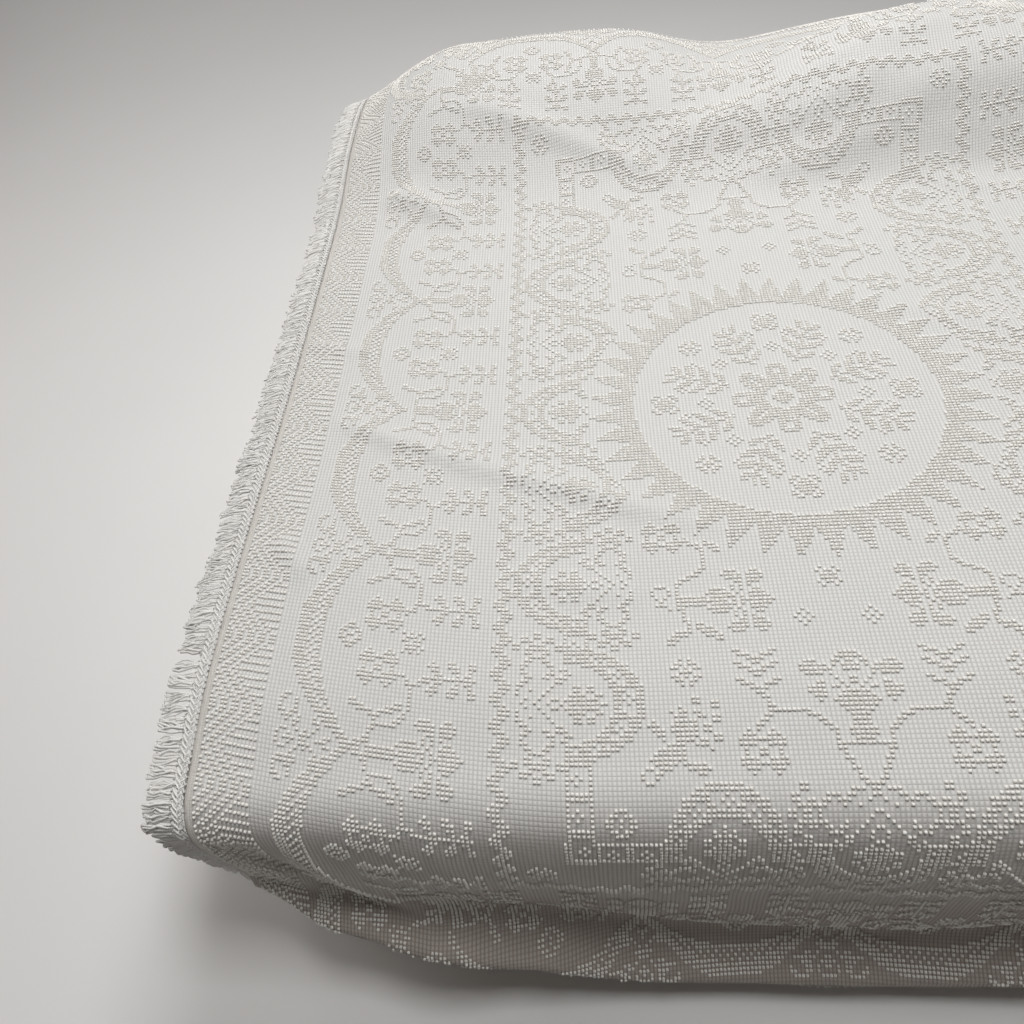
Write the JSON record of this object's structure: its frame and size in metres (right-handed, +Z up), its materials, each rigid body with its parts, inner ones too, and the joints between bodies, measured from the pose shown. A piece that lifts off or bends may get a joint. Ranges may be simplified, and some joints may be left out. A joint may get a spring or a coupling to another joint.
{
  "type": "candlewick bedspread on a bed with mattress, base and pillows",
  "caption": "Tufted cotton bedspread with netted fringe, lying on a plain bed over the pillows, falling over the foot in a soft roll and tucked under.",
  "frame": {"origin": "on the floor under the middle of the mattress and its base", "axes": "+Z up, +Y towards the head end, +X to the right seen from the foot end"},
  "size_m": [2.0378, 2.1767, 0.7806],
  "materials": {
    "candlewick_cotton": "matte",
    "edge_tape": "matte",
    "pillow_cover": "matte",
    "mattress_ticking": "matte",
    "base_cover": "matte"
  },
  "bodies": {
    "root": {"bed_base": "base_cover", "mattress": "mattress_ticking", "pillow_left": "pillow_cover", "pillow_right": "pillow_cover", "bedspread": "candlewick_cotton", "edge_tape_left": "edge_tape", "edge_tape_right": "edge_tape", "fringe_left": "candlewick_cotton", "fringe_right": "candlewick_cotton"}
  },
  "joints": []
}
